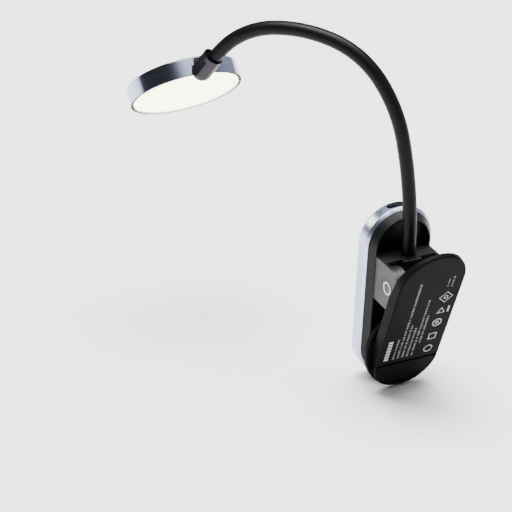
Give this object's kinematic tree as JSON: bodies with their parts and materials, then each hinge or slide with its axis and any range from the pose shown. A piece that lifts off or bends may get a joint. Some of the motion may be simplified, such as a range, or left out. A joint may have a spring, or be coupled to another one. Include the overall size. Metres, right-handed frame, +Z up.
{
  "type": "clip-on reading lamp",
  "caption": "Slim clip-on reading lamp: round flat light head on a bendable neck, sprung clip with a lever, a self-levelling round jaw and a rechargeable metal body.",
  "frame": {"origin": "middle of the gap between the two jaws, on the axis of the round lower end of the clip body", "axes": "+Z up along the clip body, +Y out of the body's flat outer face, X along the hinge pin"},
  "size_m": [0.0966, 0.1315, 0.1448],
  "materials": {
    "anodised_metal": "satin anodised, cool grey",
    "black_plastic": "fine satin",
    "charcoal_plastic": "satin, fine grain",
    "button_plastic": "satin",
    "black_silicone": "matt",
    "neck_silicone": "satin",
    "neck_wire": "drawn wire",
    "steel_pin": "ground",
    "steel_screw": "zinc plated",
    "steel_shell": "pressed sheet",
    "switch_metal": "bright",
    "spring_steel": "drawn wire",
    "black_metal": "satin",
    "clear_plastic": "clear",
    "opal_diffuser": "opal, lit",
    "led_phosphor": "glossy",
    "white_board": "white solder mask",
    "circuit_board": "solder mask",
    "battery_wrap": "foil pouch"
  },
  "bodies": {
    "clip_body": {"metal_case": "anodised_metal", "status_light_pipe": "clear_plastic", "inner_shell": "black_plastic", "fixed_jaw_pad": "black_silicone", "battery": "battery_wrap", "main_board": "circuit_board", "usb_c_receptacle": "steel_shell", "block_screws": "steel_screw", "hinge_block": "black_plastic", "hinge_pin": "steel_pin", "button_switch": "switch_metal", "torsion_springs": "spring_steel", "neck_ferrule": "black_metal", "neck_sleeve_1": "neck_silicone", "neck_core_1": "neck_wire"},
    "neck_2": {"neck_sleeve_2": "neck_silicone", "neck_core_2": "neck_wire"},
    "neck_3": {"neck_sleeve_3": "neck_silicone", "neck_core_3": "neck_wire"},
    "neck_4": {"neck_sleeve_4": "neck_silicone", "neck_core_4": "neck_wire"},
    "neck_5": {"neck_sleeve_5": "neck_silicone", "neck_core_5": "neck_wire"},
    "neck_end": {"neck_sleeve_6": "neck_silicone", "neck_core_6": "neck_wire", "neck_socket": "anodised_metal", "head_pivot_pin": "steel_pin"},
    "lamp_head": {"head_rim": "anodised_metal", "diffuser": "opal_diffuser", "light_guide": "clear_plastic", "leds": "led_phosphor", "led_board": "white_board", "head_back": "anodised_metal"},
    "lever": {"arm_cover": "charcoal_plastic", "finger_liner": "black_plastic", "lower_liner": "black_plastic", "jaw_pin": "steel_pin"},
    "jaw": {"floating_jaw": "charcoal_plastic", "jaw_pad": "black_silicone"},
    "button": {"power_button": "button_plastic"}
  },
  "joints": [
    {"name": "lever_hinge", "type": "hinge", "parent": "clip_body", "child": "lever", "pos_m": [0, -0.00675, 0.0337], "axis": [-1, 0, 0], "range_deg": [-4, 22], "stiffness_Nm_per_rad": 0.15, "springref_deg": -51.57},
    {"name": "jaw_tilt", "type": "hinge", "parent": "lever", "child": "jaw", "pos_m": [0, -0.0053, 0.0015], "axis": [1, 0, 0], "range_deg": [-6, 2.5]},
    {"name": "button_press", "type": "slide", "parent": "clip_body", "child": "button", "axis": [1, 0, 0], "range_m": [0, 0.0003], "stiffness_N_per_m": 1500, "springref_m": -0.0003},
    {"name": "neck_bend_1", "type": "hinge", "parent": "clip_body", "child": "neck_2", "pos_m": [-0.00097, -0.00007, 0.06694], "axis": [-0.7431, -0.6691, 0], "range_deg": [-25, 25]},
    {"name": "neck_sway_2", "type": "hinge", "parent": "neck_2", "child": "neck_3", "pos_m": [-0.00387, 0.00315, 0.09033], "axis": [-0.6493, 0.7211, -0.2419], "range_deg": [-25, 25]},
    {"name": "neck_bend_3", "type": "hinge", "parent": "neck_3", "child": "neck_4", "pos_m": [-0.01074, 0.01078, 0.11161], "axis": [-0.7431, -0.6691, 0], "range_deg": [-25, 25]},
    {"name": "neck_sway_4", "type": "hinge", "parent": "neck_4", "child": "neck_5", "pos_m": [-0.02381, 0.0253, 0.12442], "axis": [-0.1619, 0.1798, -0.9703], "range_deg": [-25, 25]},
    {"name": "neck_bend_5", "type": "hinge", "parent": "neck_5", "child": "neck_end", "pos_m": [-0.03961, 0.04284, 0.12514], "axis": [-0.7431, -0.6691, 0], "range_deg": [-25, 25]},
    {"name": "head_tilt", "type": "hinge", "parent": "neck_end", "child": "lamp_head", "pos_m": [-0.05767, 0.06719, 0.10405], "axis": [0.9954, -0.0715, 0.0639], "range_deg": [-18, 60]}
  ]
}
